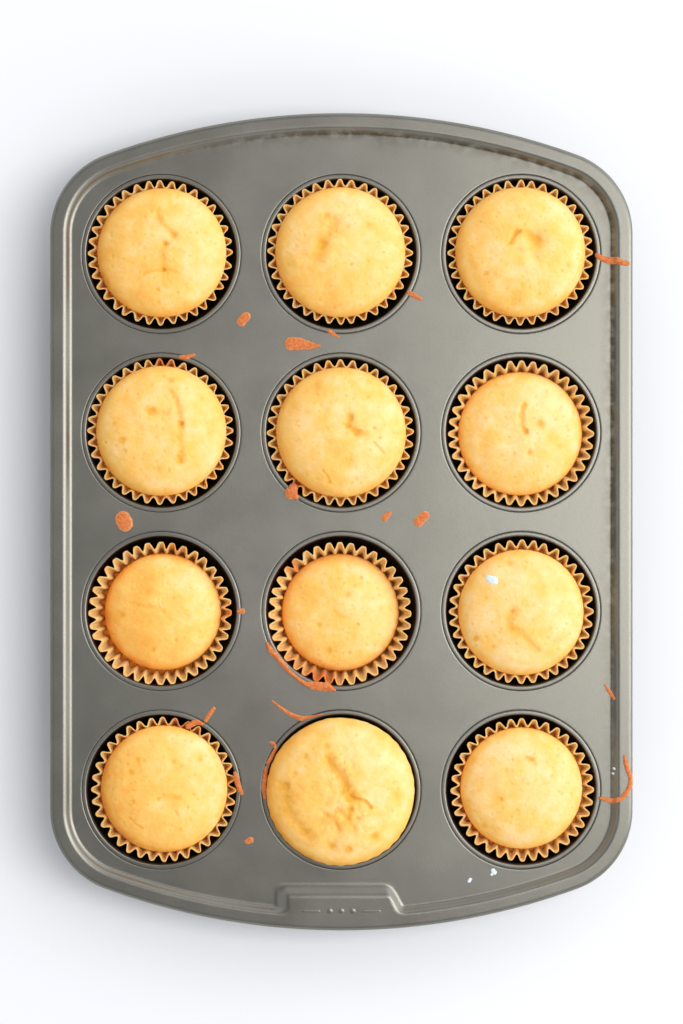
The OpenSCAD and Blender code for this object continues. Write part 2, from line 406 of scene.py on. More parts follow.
def sponge():
    """Baked crumb with fine pores: pale, but orange where it is more baked and, as painted shade, at its
    lower left, and golden in its dents, cracks and pores, which is partly painted shade."""
    s = Shader("sponge", Roughness=0.72, Specular_IOR_Level=0.25, Subsurface_Weight=0.30,
               Subsurface_Scale=5 * MM, Subsurface_Radius=(1.0, 0.5, 0.18))
    mottle = s.maths("SUBTRACT", s.noise(7 * MM, 5.0, 0.65), 0.5)
    fine = s.noise(0.9 * MM, 3.0, 0.6)
    level = s.maths("ADD", s.attribute("bake_and_shade"), s.maths("MULTIPLY", mottle, 0.5))
    crust = s.ramp(level, (0.0, (0.95, 0.66, 0.32)), (0.3, (0.95, 0.55, 0.14)),
                   (0.65, (0.92, 0.41, 0.065)), (1.0, (0.70, 0.22, 0.03)))
    # golden in dents, cracks and pores: partly crust colour, partly painted shade in the hollows
    crust = s.mix(s.attribute("gold_and_shade"), crust, (0.82, 0.39, 0.04))
    # painted shade: the pores' middles are darker orange, as well as sunk by the bump
    cells = s.add("TexVoronoi", {"Vector": s.where, "Scale": 1 / (2.4 * MM), "Randomness": 1.0})
    pores = s.ramp(cells.outputs["Distance"], (0.06, 1.0), (0.20, 0.0))
    shaded_pores = s.maths("MULTIPLY", pores, s.ramp(s.noise(5 * MM), (0.52, 0.0), (0.62, 1.0)))
    crust = s.mix(s.maths("MULTIPLY", shaded_pores, 0.35), crust, (0.84, 0.44, 0.08))
    s.set(s.bsdf, "Base Color", crust)
    s.bump((fine, 0.06 * MM), (s.maths("SUBTRACT", 1.0, shaded_pores), 0.10 * MM))
    return s.material


def baked_drip():
    """Batter that ran over and baked on: orange brown, speckled, and paler where it is thin."""
    s = Shader("baked_drip", Roughness=0.5, Specular_IOR_Level=0.3, Subsurface_Weight=0.15,
               Subsurface_Scale=2 * MM)
    blotch = s.noise(1.3 * MM, 4.0, 0.65)
    darkened = s.ramp(blotch, (0.3, (0.50, 0.095, 0.022)), (0.5, (0.66, 0.165, 0.042)),
                     (0.7, (0.78, 0.25, 0.08)))
    s.set(s.bsdf, "Base Color", s.mix(s.attribute("thin"), darkened, (0.74, 0.38, 0.16)))
    s.bump((s.noise(0.6 * MM, 3.0), 0.12 * MM))
    return s.material


def flour():
    s = Shader("flour", Roughness=0.9, Subsurface_Weight=0.3, Subsurface_Scale=2 * MM)
    grain = s.noise(0.4 * MM, 3.0)
    s.set(s.bsdf, "Base Color", s.ramp(grain, (0.3, (0.86, 0.85, 0.84)), (0.7, (0.98, 0.98, 0.99))))
    s.bump((grain, 0.2 * MM))
    return s.material


def pale_floor():
    s = Shader("pale_floor", Roughness=0.6, Specular_IOR_Level=0.2)
    clouds = s.noise(300 * MM)
    s.set(s.bsdf, "Base Color", s.ramp(clouds, (0.3, (0.80, 0.81, 0.84)), (0.7, (0.82, 0.83, 0.86))))
    return s.material


STEEL = coated_steel("coated_steel")
CUP_STEEL = coated_steel("coated_steel_cup", darkened=True)
PAPER = baking_paper()
SPONGE = sponge()
DRIP = baked_drip()
FLOUR = flour()

# ---------------------------------------------------------------- the tin's outline and surface


def perimeter():
    """Points and outward normals round the outline, anticlockwise, closer together by the pad."""
    side_step, corner_step, back_step, front_step = 4 * MM, 1.2 * MM, 3 * MM, 0.9 * MM
    points = []

    def side(sign, step):
        n = round(2 * CORNER_Y / step)
        for k in range(n):
            points.append((sign * TIN_W / 2, sign * (-CORNER_Y + 2 * CORNER_Y * k / n), sign, 0.0))

    def sweep(cx, cy, r, a0, a1, step):
        n = round((a1 - a0) * r / step)
        for k in range(n):
            a = a0 + (a1 - a0) * k / n
            points.append((cx + r * math.cos(a), cy + r * math.sin(a), math.cos(a), math.sin(a)))

    quarter = math.pi / 2
    side(1, side_step)
    sweep(CORNER_X, CORNER_Y, CORNER_R, 0, quarter - HALF_END, corner_step)
    sweep(0, END_Y, END_R, quarter - HALF_END, quarter + HALF_END, back_step)
    sweep(-CORNER_X, CORNER_Y, CORNER_R, quarter + HALF_END, 2 * quarter, corner_step)
    side(-1, side_step)
    sweep(-CORNER_X, -CORNER_Y, CORNER_R, 2 * quarter, 3 * quarter - HALF_END, corner_step)
    sweep(0, -END_Y, END_R, 3 * quarter - HALF_END, 3 * quarter + HALF_END, front_step)
    sweep(CORNER_X, -CORNER_Y, CORNER_R, 3 * quarter + HALF_END, 4 * quarter, corner_step)
    return np.array(points)


def inset_of(x, y):
    """How far in from the tin's edge a point lies."""
    x, y = abs(x), abs(y)
    if y <= CORNER_Y:
        return TIN_W / 2 - x
    if (x - CORNER_X) * BOW[1] > (y - CORNER_Y) * BOW[0]:
        return CORNER_R - math.hypot(x - CORNER_X, y - CORNER_Y)
    return END_R - math.hypot(x, y - END_Y)


def slope_path():
    """The sheet's mid-thickness path from the panel up to the curl, as (u, z), with u 0 at the edge."""
    corners = [(RIM_IN, MID_PANEL), (RIM_FOOT, MID_PANEL), (-FLANGE_W, MID_FLANGE), (CURL_U, MID_FLANGE)]
    return subdivided(bent(corners, [RIM_BEND, RIM_BEND]), FINE_STEP)


def curl_path():
    """On from the slope's path, out and down round the wire."""
    return arc((CURL_U, CURL_Z), CURL_R, 90, 90 - CURL_TURN, steps=26)


def pad_lift(x, y):
    """From 0 on the plain sheet to 1 on the raised pad, which is level with the flange."""
    slant = (PAD_Y - y) * PAD_SLANT
    inner = 1 - smoothstep(PAD_Y, PAD_Y + PAD_RAMP, y)
    left = smoothstep(PAD_LEFT[0], PAD_LEFT[1], x)
    right = 1 - smoothstep(PAD_RIGHT[0] + slant, PAD_RIGHT[1] + slant, x)
    return inner * left * right


def lifted(x, y, z):
    """A height on the sheet's mid surface, raised where the pad is."""
    return z + (MID_FLANGE - z) * pad_lift(x, y)


# ---------------------------------------------------------------- top sheet


def collar_path():
    """A turned-down hole edge's mid-thickness path from the panel down to its end, as (r, z)."""
    mid = COLLAR_R + SHEET_T / 2
    start_r = mid + 1.2 * MM
    corners = [(start_r, MID_PANEL), (mid, MID_PANEL), (mid, PANEL_Z - COLLAR_H)]
    return subdivided(bent(corners, [COLLAR_BEND], steps=6), FINE_STEP)


def panel_points(hole_r):
    """The panel's outline and hole loops, and loose points over it, close together by the pad."""
    loops = [[(x + nx * RIM_IN, y + ny * RIM_IN) for x, y, nx, ny in perimeter()]]
    loops += [circle(cup, hole_r, CUP_POINTS) for cup in CUPS.values()]
    loose = []

    def scatter(x0, x1, y0, y1, step):
        away = 0.6 * step  # least distance from the loops
        for y in np.arange(y0, y1, step):
            for x in np.arange(x0, x1, step):
                if to_nearest_cup(x, y) > hole_r + away and inset_of(x, y) > -RIM_IN + away:
                    loose.append((x, y))

    coarse, fine = 4 * MM, 0.9 * MM
    side, back = TIN_W / 2, TIN_L / 2
    pad_side, pad_back = 45 * MM, -back + 27 * MM  # bounds of the part with fine points
    scatter(-side, side, pad_back, back, coarse)
    scatter(-side, -pad_side, -back, pad_back, coarse)
    scatter(pad_side, side, -back, pad_back, coarse)
    scatter(-pad_side, pad_side, -back, pad_back, fine)
    return loops, loose


def groove_at(x, y):
    """Nearness to the foot of the slope, from 0 to 1, mostly at the tin's upper right: partly dirt,
    partly painted shade.
    """
    dirty_and_shaded = smoothstep(-0.1, 0.55, x / TIN_W + y / TIN_L)
    return dirty_and_shaded * bell(inset_of(x, y) + RIM_FOOT, 1.6 * MM)


def add_grid(mesh, rows):
    """Adds rows of points, each row going all the way round, and quads between them."""
    made = [[mesh.verts.new(p) for p in row] for row in rows]
    for a, b in zip(made, made[1:]):
        for i in range(len(a)):
            j = (i + 1) % len(a)
            mesh.faces.new((a[i], a[j], b[j], b[i]))


def add_rim(mesh):
    """The slope, the flange and the curl."""
    edge = perimeter()
    rows = [[(x + nx * u, y + ny * u, lifted(x + nx * u, y + ny * u, z)) for x, y, nx, ny in edge]
            for u, z in slope_path()]
    rows += [[(x + nx * u, y + ny * u, z) for x, y, nx, ny in edge] for u, z in curl_path()[1:]]
    add_grid(mesh, rows)


def add_collars(mesh):
    for cup in CUPS.values():
        add_grid(mesh, [[(x, y, z) for x, y in circle(cup, r, CUP_POINTS)] for r, z in collar_path()])


def add_panel(mesh):
    """The panel, as triangles between its outline, its holes and loose points."""
    hole_r = collar_path()[0][0]
    loops, loose = panel_points(hole_r)
    points, edges = [], []
    for loop in loops:
        first = len(points)
        points += [Vector(p) for p in loop]
        edges += [(first + k, first + (k + 1) % len(loop)) for k in range(len(loop))]
    points += [Vector(p) for p in loose]
    made, _, faces, *_ = geometry.delaunay_2d_cdt(points, edges, [], 0, 1e-7)
    verts = [mesh.verts.new((p.x, p.y, lifted(p.x, p.y, MID_PANEL))) for p in made]
    for face in faces:
        mid = sum((made[k] for k in face), Vector((0, 0))) / len(face)
        if to_nearest_cup(mid.x, mid.y) > hole_r:
            mesh.faces.new([verts[k] for k in face])


def make_top_sheet():
    """The panel with its holes' collars, and the rim, joined along their shared edges."""
    mesh = bmesh.new()
    add_rim(mesh)
    add_collars(mesh)
    add_panel(mesh)
    bmesh.ops.remove_doubles(mesh, verts=mesh.verts, dist=0.002 * MM)
    bmesh.ops.recalc_face_normals(mesh, faces=mesh.faces)
    data = bpy.data.meshes.new("tin_top_sheet")
    mesh.to_mesh(data)
    mesh.free()
    data.shade_smooth()
    data.materials.append(STEEL)
    obj = add_to_scene("tin_top_sheet", data)
    set_attribute(obj, "groove", [groove_at(v.co.x, v.co.y) for v in data.vertices])
    solidify(obj, SHEET_T)
    place(obj, "tin", "nonstick_steel", "top_sheet")


def raised_mark(name, length, width, x):
    """One low rounded mark of the pad's plain motif: a dot, or a bar if it is longer than wide."""
    y = -TIN_L / 2 + MOTIF_IN
    base_z = FLANGE_Z - 0.02 * MM  # sunk a little into the pad, so that no gap shows
    n, levels = 32, 7
    half = max(0.0, (length - width) / 2)
    verts = []
    for j in range(levels):
        up = j / (levels - 1) * math.pi / 2
        r = width / 2 * math.cos(up)
        for i in range(n):
            a = 2 * math.pi * (i + 0.5) / n
            end_x = x + math.copysign(half, math.cos(a))
            verts.append((end_x + r * math.cos(a), y + r * math.sin(a), base_z + MOTIF_H * math.sin(up)))
    faces = ring_faces(levels, n) + [end_cap(len(verts), n), end_cap(n, n)[::-1]]
    place(new_object(name, verts, faces, STEEL), "tin", "nonstick_steel")


def make_motif():
    """Three dots side by side between two bars."""
    dot_d, dot_pitch = 3 * MM, 5.5 * MM
    bar_l, bar_w, bar_x = 9 * MM, 1.5 * MM, 14.5 * MM
    for k in (-1, 0, 1):
        raised_mark(f"pad_dot_{k + 2}", dot_d, dot_d, k * dot_pitch)
    for k, side in enumerate((-1, 1)):
        raised_mark(f"pad_bar_{k + 1}", bar_l, bar_w, side * bar_x)


# ---------------------------------------------------------------- cups


def cup_path():
    """A cup's mid-thickness path from the middle of its floor to its hooked lip, as (r, z)."""
    t = SHEET_T
    wall_top = MOUTH_R + t / 2
    leg = MOUTH_R + BEAD_W - t / 2
    bead_z = PANEL_Z + BEAD_RISE - t / 2
    hook_z = PANEL_Z - COLLAR_H - FIT_GAP - t / 2
    lip = COLLAR_R + 1.5 * t + 2 * FIT_GAP
    start_r, longest = 0.2 * MM, 3 * MM
    corners = [(start_r, t / 2), (FLOOR_R, t / 2), (wall_top, bead_z), (leg, bead_z), (leg, hook_z),
               (lip, hook_z), (lip, PANEL_Z - t - LIP_GAP)]
    return subdivided(bent(corners, [FLOOR_BEND, BEAD_BEND, BEAD_BEND, HOOK_BEND, HOOK_BEND]), longest)


def make_cups():
    """The cups, plain outside. Thickening gives each one's inner side its second material: painted shade
    below the panel.
    """
    for tag in TAGS:
        verts, faces = lathe(cup_path(), CUPS[tag], CUP_POINTS)
        faces.append(end_cap(CUP_POINTS, CUP_POINTS)[::-1])
        obj = new_object(f"tin_cup_{tag}", verts, faces, STEEL)
        obj.data.materials.append(CUP_STEEL)
        solidify(obj, SHEET_T).modifiers["thickness"].material_offset = 1
        place(obj, "tin", "nonstick_steel", f"cup_{tag}")


# ---------------------------------------------------------------- paper cases


class Case:
    """One paper case's shape: where it stands, how wide it opens, and each pleat's own size. Its pleats
    are rounder the more room its cake leaves them."""

    def __init__(self, tag):
        rng = random.Random(f"paper {tag}")
        node = f"paper_case_{tag}"
        self.middle = centre_of(node)
        self.base_z = box_of(node)[0][2] + 0.1 * MM
        self.tip_r = radius_of(node)
        self.free = float(np.clip((FOLDS_R - radius_of(f"cake_{tag}")) / (3 * MM), 0, 1))
        self.size = [rng.uniform(0.86, 1.0) for _ in range(PLEATS)]
        self.shift = [rng.uniform(-0.10, 0.10) for _ in range(PLEATS)]
        self.drop = [rng.uniform(0.0, 0.5) * MM for _ in range(PLEATS)]

    def point(self, i, v, inward=0.0):
        """Point i round the wall, at v from 0 at its base to 1 at its top, moved inward."""
        k, part = divmod(i / PER_PLEAT, 1.0)
        here, there = int(k) % PLEATS, (int(k) + 1) % PLEATS
        blend = part * part * (3 - 2 * part)
        own = (self.size, self.shift, self.drop)
        size, shift, drop = (values[here] + (values[there] - values[here]) * blend for values in own)
        depth = PLEAT_FOOT + (PLEAT_DEPTH - PLEAT_FOOT) * v
        outer = CASE_BASE_R + (self.tip_r - CASE_BASE_R) * v - CASE_FLARE * smoothstep(1.0, 0.85, v) * v
        c = math.cos(2 * math.pi * part)
        fold = c * (1.25 - 0.25 * c * c) * size + 0.4 * self.free * (1 - c * c)
        r = outer - depth / 2 + depth / 2 * fold - inward
        angle = 2 * math.pi * (i / PER_PLEAT + shift * v) / PLEATS
        x, y = self.middle + np.array([r * math.cos(angle), r * math.sin(angle)])
        return x, y, self.base_z + (CASE_H - drop) * v


def toast_at(degrees, v, toasted):
    """How brown a case is in a direction, at v from 0 at its base to 1 at its top."""
    toast = 0.10 * max(0.0, v - 0.75) / 0.25
    for towards, spread, strength in toasted:
        gap = (degrees - towards + 180) % 360 - 180
        toast += strength * bell(gap, spread) * smoothstep(0.6, 0.95, v)
    return toast


def make_paper_case(tag, case, toasted):
    """A pleated wall, from its base up to its cut edge, and a flat base."""
    n = CASE_POINTS
    levels = np.linspace(0, 1, 15)
    verts = [case.point(i, v) for v in levels for i in range(n)]
    toast = [toast_at(360 * i / n, v, toasted) for v in levels for i in range(n)]
    edge = [smoothstep(0.92, 1.0, v) for v in levels for i in range(n)]
    faces = ring_faces(len(levels), n)
    base = len(verts)
    base_rings = [CASE_BASE_R * share for share in (0.96, 0.6, 0.2)]
    for r in base_rings:
        verts += [(x, y, case.base_z) for x, y in circle(case.middle, r, n)]
    plain = [0.0] * (len(verts) - base)
    faces += [(i, base + i, base + (i + 1) % n, (i + 1) % n) for i in range(n)]
    faces += [tuple(base + k for k in f) for f in ring_faces(len(base_rings), n)]
    faces.append(end_cap(len(verts), n)[::-1])
    obj = new_object(f"paper_{tag}", verts, faces, PAPER)
    set_attribute(obj, "toast", toast + plain)
    set_attribute(obj, "edge", edge + plain)
    solidify(obj, PAPER_T)
    place(obj, f"muffin_{tag}", "baking_paper", f"paper_case_{tag}")


# ---------------------------------------------------------------- cakes

# Marks on each cake, in millimetres from the middle of its cup: dents as (x, y, radius, depth, golden
# colour, partly painted shade in the hollow and paler on a bump) and cracks as (points, half width,
# depth).
DENTS = {
    "a1": [(2.3, 3.6, 1, 0.9, 0.35), (1.5, -8.5, 0.9, 0.8, 0.3), (6.3, 8.5, 1.8, 0.5, 0.2),
           (0, 16.5, 1.6, 0.35, 0.12), (1.5, -2, 1.2, 0.4, 0.15), (-1, -24, 1, 0.3, 0.2),
           (-13, -5.5, 0.7, 0.2, 0.15), (-24, 9, 0.7, 0.2, 0.1), (-1.2, -18, 1, 0.25, 0.15)],
    "a2": [(-9.3, 3.6, 2.6, 0.7, 0.25), (-7, 17.5, 1.5, 0.4, 0.2), (12.5, 12.5, 1.8, 0.4, 0.15),
           (20.3, 0, 0.4, 0.5, 0.6), (4.6, -6, 0.6, 0.4, 0.3), (-5.5, -16.5, 0.7, 0.3, 0.2),
           (-21, -5, 2.4, -0.5, -0.1), (3, 12, 1.2, 0.3, 0.15), (0.5, 4, 1.6, -0.3, -0.1)],
    "a3": [(6.5, 5.5, 4.2, 1.5, 0.22), (6, -2, 2.4, 0.6, 0.12), (22, -6, 1.3, 0.3, 0.22),
           (-17, -10, 1, 0.2, 0.4), (-4.5, -24.5, 1.7, 0.3, 0.15), (-2, 1, 2.2, 0.4, 0.1)],
    "b1": [(9.8, 4, 1, 0.8, 0.35), (4.5, 25, 1.6, 0.4, 0.25), (-18, -4, 1.5, 0.2, 0.5),
           (-26.5, -5, 0.5, 0.4, 0.6), (-22, 4, 1, 0.2, 0.2), (9, -14, 2.4, 0.4, 0.15),
           (-4, 10, 2, 0.4, 0.2), (-1, -17.5, 1.4, 0.3, 0.15)],
    "b2": [(4.2, 6.5, 1.6, 0.6, 0.2), (3, 2.5, 1.5, 0.6, 0.2), (7, -0.5, 2, 0.8, 0.2),
           (15.6, 1.8, 0.8, 0.5, 0.25), (-12, 22, 2.2, 0.3, 0.15), (-6, -24, 0.7, 0.4, 0.3),
           (3.5, -15, 2.4, 0.3, 0.12), (13, 24, 1.2, 0.2, 0.1), (7, -22.5, 1, 0.3, 0.15)],
    "b3": [(8.8, 4.2, 2, 0.6, 0.30), (1.8, 0.2, 1.2, 0.9, 0.35), (1.2, 13.5, 1.2, 0.5, 0.25),
           (3.6, -9.8, 1.3, 0.6, 0.3), (-17.5, 7, 0.9, 0.2, 0.15), (-12.5, 23, 0.8, 0.2, 0.15),
           (18, -7, 1, 0.2, 0.1), (-10, -19, 1, 0.2, 0.1)],
    "c1": [(-7, 9, 1.4, 0.3, 0.15), (-4, -18.5, 1.1, 0.3, 0.5), (7, -14, 0.8, 0.35, 0.25),
           (13, -3, 1.8, 0.4, 0.12), (0.5, 17.5, 0.7, 0.3, 0.2), (24, 3.5, 0.8, 0.2, 0.15),
           (-19, -2, 1.6, 0.3, 0.3), (5, -24, 0.8, 0.2, 0.15), (18, -17, 1, 0.2, 0.1)],
    "c2": [(3.2, 8, 1.7, 0.4, 0.22), (-11, -6.5, 1.1, 0.4, 0.25), (-6, -19, 1.6, 0.4, 0.4),
           (8, -6.2, 0.5, 0.5, 0.5), (9.5, 16, 0.6, 0.4, 0.3), (4, -20, 0.8, 0.3, 0.2),
           (-3, 0, 1, 0.2, 0.1), (19, 1, 1, 0.2, 0.1)],
    "c3": [(-6, 23, 1.6, 0.3, 0.2), (-22, -13, 1.3, 0.2, 0.45), (16.5, -14, 2, 0.4, 0.1),
           (-14, -17, 1.2, 0.3, 0.2), (-5, 0, 1, 0.4, 0.2), (10, 12, 1, 0.2, 0.1)],
    "d1": [(-11.2, 15, 1.2, 0.4, 0.5), (-14, 9, 1.6, 0.3, 0.35), (19, 15, 1.4, 0.3, 0.2),
           (6.5, 14, 1.4, 0.3, 0.2), (-13, -5, 1, 0.2, 0.35), (13, -7.5, 0.7, 0.3, 0.2),
           (-1, -3.5, 0.8, 0.4, 0.25), (8, -11, 1.2, 0.3, 0.15), (-22, -4.5, 0.6, 0.3, 0.4)],
    "d2": [(-26, 3, 1.6, 0.5, 0.4), (-26, -2.5, 1, 0.4, 0.4), (-17.5, -19, 1.4, 0.5, 0.45),
           (3.5, -27.3, 1.6, 0.5, 0.55), (-4.5, -25.5, 2.2, 0.5, 0.3), (16, -21, 1.8, 0.6, 0.35),
           (-17, 17, 1.6, 0.4, 0.25), (-7, 22, 1.8, 0.6, 0.3), (26, -2, 2.6, 0.6, 0.15),
           (-9, -14, 2, 0.4, 0.15), (-22, 9, 1.2, 0.3, 0.25)],
    "d3": [(-10, -4, 0.9, 0.4, 0.6), (4, 15, 1.3, 0.4, 0.2), (5, -11, 0.6, 0.4, 0.3),
           (14, 7, 0.9, 0.3, 0.15), (-18, -17, 1.5, 0.3, 0.25), (9, -20, 1, 0.2, 0.12),
           (-8, 10, 1, 0.2, 0.1)],
}
CRACKS = {
    "a1": [([(-1, 20), (-1.5, 16.5), (1, 13), (5, 10), (6.5, 7.5)], 0.9, 0.35),
           ([(-8, -10.5), (-4, -9), (1.5, -8.5), (7, -9.5)], 0.5, 0.3),
           ([(2.3, 3.6), (0.5, -1), (1.5, -8.5)], 1.2, 0.3)],
    "a2": [([(-3, 14), (-5, 10), (-9, 4), (-11, -3)], 1.8, 0.6)],
    "a3": [([(-1.5, 9.8), (-3.2, 9.2), (-4.6, 6.8), (-6, 4)], 0.6, 1.1),
           ([(-3, 9.5), (2, 9), (6.5, 5.5)], 1.2, 0.5)],
    "b1": [([(5, 19.5), (7.5, 16), (9, 9), (10, 4)], 0.9, 0.45),
           ([(10, 4), (9, -3), (10, -8), (9.5, -14)], 1.0, 0.4),
           ([(-6, 10.5), (-1, 9), (3, 9)], 0.9, 0.35)],
    "b2": [([(4, 8), (3.5, 3), (7, 0), (11, -1)], 1.2, 0.5),
           ([(15.5, -5), (18, -7.5), (20.5, -10.5)], 0.4, 0.4),
           ([(-9, -18.5), (-7, -21), (-5, -24.5)], 0.4, 0.35)],
    "b3": [([(0.5, 12), (-0.5, 8), (0, 3), (1.5, 0)], 0.9, 0.55)],
    "c1": [([(-15, 4), (-9, 2.5), (-3, 2), (1, 0)], 0.7, 0.2)],
    "c2": [([(-2, -2), (3, -3)], 0.6, 0.15)],
    "c3": [([(-4, 1), (-7, -4), (-6, -8), (-1, -10), (3, -14), (7, -18)], 1.2, 0.55)],
    "d1": [([(-15, -13), (-12, -16), (-9, -18)], 0.4, 0.35),
           ([(-16, -25), (-10, -27), (-4, -28)], 0.5, 0.4),
           ([(1, -2), (5, -2.5), (9, -3)], 0.9, 0.3)],
    "d2": [([(-6, 15.5), (-4.5, 12), (-1, 9.5), (1, 5.5), (2.5, 1), (4.5, -2)], 1.7, 1.3),
           ([(4.5, -2), (7.5, -3), (11, -4), (14, -7)], 0.6, 0.9),
           ([(-27.5, 2), (-26, -8), (-21, -15), (-15, -21)], 1.8, 0.6),
           ([(4, -8), (3, -12), (6, -17)], 0.9, 0.6),
           ([(-8, -10), (-3, -14), (-1, -18)], 0.9, 0.5)],
    "d3": [([(2, 16), (5, 15), (6, 13)], 0.7, 0.3)],
}
# How much browner or paler a cake is than the rest.
TONES = {"a1": 0.04, "b3": -0.06, "c1": 0.13, "c3": -0.06, "d1": 0.11, "d3": -0.05}


def distance_to_line(xy, points):
    """Distance of each point of an array from a line through the given points."""
    best = np.full(len(xy), 1e9)
    for a, b in zip(points, points[1:]):
        a, b = np.array(a, float), np.array(b, float)
        along = np.clip(((xy - a) @ (b - a)) / ((b - a) @ (b - a)), 0, 1)
        best = np.minimum(best, np.linalg.norm(xy - (a + along[:, None] * (b - a)), axis=1))
    return best


def cake_marks(tag, xy, seed):
    """Height change in millimetres and golden colour at points in millimetres from the cup's middle. The
    colour darkens the dents, cracks and pores, and is partly painted shade.
    """
    rng = np.random.default_rng(seed)
    height, gold_and_shade = np.zeros(len(xy)), np.zeros(len(xy))
    wobble = fractals(xy, 2.0, 2, seed) * 0.6
    for x, y, r, depth, colour in DENTS[tag]:
        near = bell(np.linalg.norm(xy - (x, y), axis=1) + wobble * 0.4, r)
        height -= 1.2 * depth * near
        gold_and_shade += 3.2 * colour * near
    for points, half_width, depth in CRACKS[tag]:
        far = np.abs(distance_to_line(xy, points) + wobble * half_width * 0.9)
        height -= depth * bell(far, 1.3 * half_width)
        height += 0.15 * depth * bell(far - 3 * half_width, half_width)
        # golden in and beside the crack: partly painted shade
        gold_and_shade += min(0.9, 0.4 + depth * 0.4) * bell(far, 1.8 * half_width)
    pores, pores_reach = 60, 28
    for _ in range(pores):
        r, a = pores_reach * math.sqrt(rng.random()), rng.random() * 2 * math.pi
        size, depth = rng.uniform(0.3, 0.75), rng.uniform(0.12, 0.35)
        near = bell(np.linalg.norm(xy - (r * math.cos(a), r * math.sin(a)), axis=1), size)
        height -= depth * near
        # painted shade: golden darkening in the pore
        gold_and_shade += 0.45 * near
    return height, gold_and_shade


def widest(node):
    """Height at which a CAD node is widest."""
    co = np.array([v.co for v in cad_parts[node].data.vertices])
    out = np.linalg.norm(co[:, :2] - centre_of(node), axis=1)
    return co[out > out.max() - 0.02 * MM, 2].mean()


def burst_marks(xy, verts, seed):
    """Height change and golden colour of the lumpy crumb where the overflowing cake has burst open. The
    colour lies in the crevices between lumps and is partly painted shade.
    """
    burst = bell(np.linalg.norm(xy - (3, -9), axis=1), 12)
    lumps = fractals(verts, 3.0 * MM, 1, seed)
    return burst * 0.9 * lumps, burst * 0.5 * smoothstep(-0.05, -0.35, lumps)


def cake_sides(case, centre, edge_r, foot_z, edge_z):
    """Points of a cake's underside, of its wall in the pleats and of its shoulder, ring by ring."""
    foot_v = (foot_z - case.base_z) / CASE_H
    fill_v = min(0.93, (edge_z - 4.5 * MM - case.base_z) / CASE_H)
    into_paper = 0.5 * MM  # how far inside the paper's middle the wall lies
    shoulder_r, shoulder_z = min(edge_r, FOLDS_R) - 1.2 * MM, edge_z - 2.2 * MM
    verts = [(x, y, foot_z) for r in (8 * MM, 22 * MM) for x, y in circle(centre, r, CASE_POINTS)]
    for v in np.linspace(foot_v, fill_v, 10):
        verts += [case.point(i, v, into_paper) for i in range(CASE_POINTS)]
    return verts + [(x, y, shoulder_z) for x, y in circle(centre, shoulder_r, CASE_POINTS)]


def cake_dome(centre, edge_r, edge_z, rise, over, seed):
    """Points of a cake's smooth dome, ring by ring from its edge to its middle. The overflowing one is
    fuller and less round."""
    power, soft, uneven = (2.6, 0.62, 0.012) if over else (2.3, 0.60, 0.004)
    angles = np.linspace(0, 2 * math.pi, CASE_POINTS, endpoint=False)
    lobes = fractals([(math.cos(a), math.sin(a)) for a in angles], 0.8, 2, seed)
    verts = []
    rings, last = 78, 0.004  # the last ring leaves a tiny hole, which one face closes
    for left in np.linspace(1, 0, rings):
        t = max(math.sin(left * math.pi / 2) ** 0.9, last)
        z = edge_z + rise * (1 - t**power) ** soft
        for a, lobe in zip(angles, lobes):
            r = edge_r * t * (1 + uneven * lobe * t)
            if over:
                r += 0.2 * MM * (0.5 + lobe) * math.cos(PLEATS * a) * smoothstep(0.94, 1.0, t)
            verts.append((centre[0] + r * math.cos(a), centre[1] + r * math.sin(a), z))
    return verts


def bake_and_shade_of(from_middle, on_dome, patches, crumb, tone):
    """How baked each point of a cake looks: patchily on top and more round the edge, with painted shade
    that makes its lower left more orange. A browner tone also deepens that painted shade at the lower
    left."""
    # painted shade: more orange towards the lower left, away from the light at the upper right
    painted_shade_low_left = from_middle @ (-0.9, -0.4)
    edge = smoothstep(0.85, 1.0, np.linalg.norm(from_middle, axis=1))
    top = 0.22 + tone + 0.17 * patches + (0.22 + 0.10 * painted_shade_low_left) * edge + 0.03 * crumb
    return np.where(on_dome > 0, top + (0.10 + 1.2 * tone) * painted_shade_low_left, 0.48)


def make_cake(tag, case, tone, seed):
    """A cake that fills its case's pleats nearly to the top and rises from them in a dome."""
    node = f"cake_{tag}"
    lo, hi = box_of(node)
    centre, edge_r, edge_z = centre_of(node), radius_of(node), widest(node)
    over = tag == OVERFLOWING
    sides = cake_sides(case, centre, edge_r, lo[2], edge_z)
    dome = cake_dome(centre, edge_r, edge_z, hi[2] - edge_z, over, seed + 5)
    verts = np.array(sides + dome)
    on_dome = np.repeat([0.0, 1.0], [len(sides), len(dome)])
    from_middle = (verts[:, :2] - centre) / edge_r

    xy = (verts[:, :2] - CUPS[tag]) / MM
    marks, gold_and_shade = cake_marks(tag, xy, seed)
    swell = fractals(verts, 17 * MM, 2, seed) * 0.55 + fractals(verts, 5 * MM, 3, seed) * 0.16
    crumb = fractals(verts, 1.6 * MM, 3, seed + 9)
    if over:
        burst, burst_gold_and_shade = burst_marks(xy, verts, seed + 7)
        marks += burst
        gold_and_shade += burst_gold_and_shade
        swell *= 1.5
    keep = on_dome * (1 - smoothstep(0.93, 1.0, np.linalg.norm(from_middle, axis=1)) * 0.8)
    verts[:, 2] += (marks + swell + crumb * 0.08) * MM * keep

    patches = fractals(verts, 11 * MM, 3, seed + 3)
    faces = ring_faces(len(verts) // CASE_POINTS, CASE_POINTS)
    faces += [end_cap(CASE_POINTS, CASE_POINTS)[::-1], end_cap(len(verts), CASE_POINTS)]
    obj = new_object(f"muffin_cake_{tag}", verts, faces, SPONGE)
    set_attribute(obj, "bake_and_shade", bake_and_shade_of(from_middle, on_dome, patches, crumb, tone))
    set_attribute(obj, "gold_and_shade", np.clip(gold_and_shade, 0, 0.9) * on_dome)
    return place(obj, f"muffin_{tag}", "sponge", node)


# ---------------------------------------------------------------- spilt batter, crumbs and flour

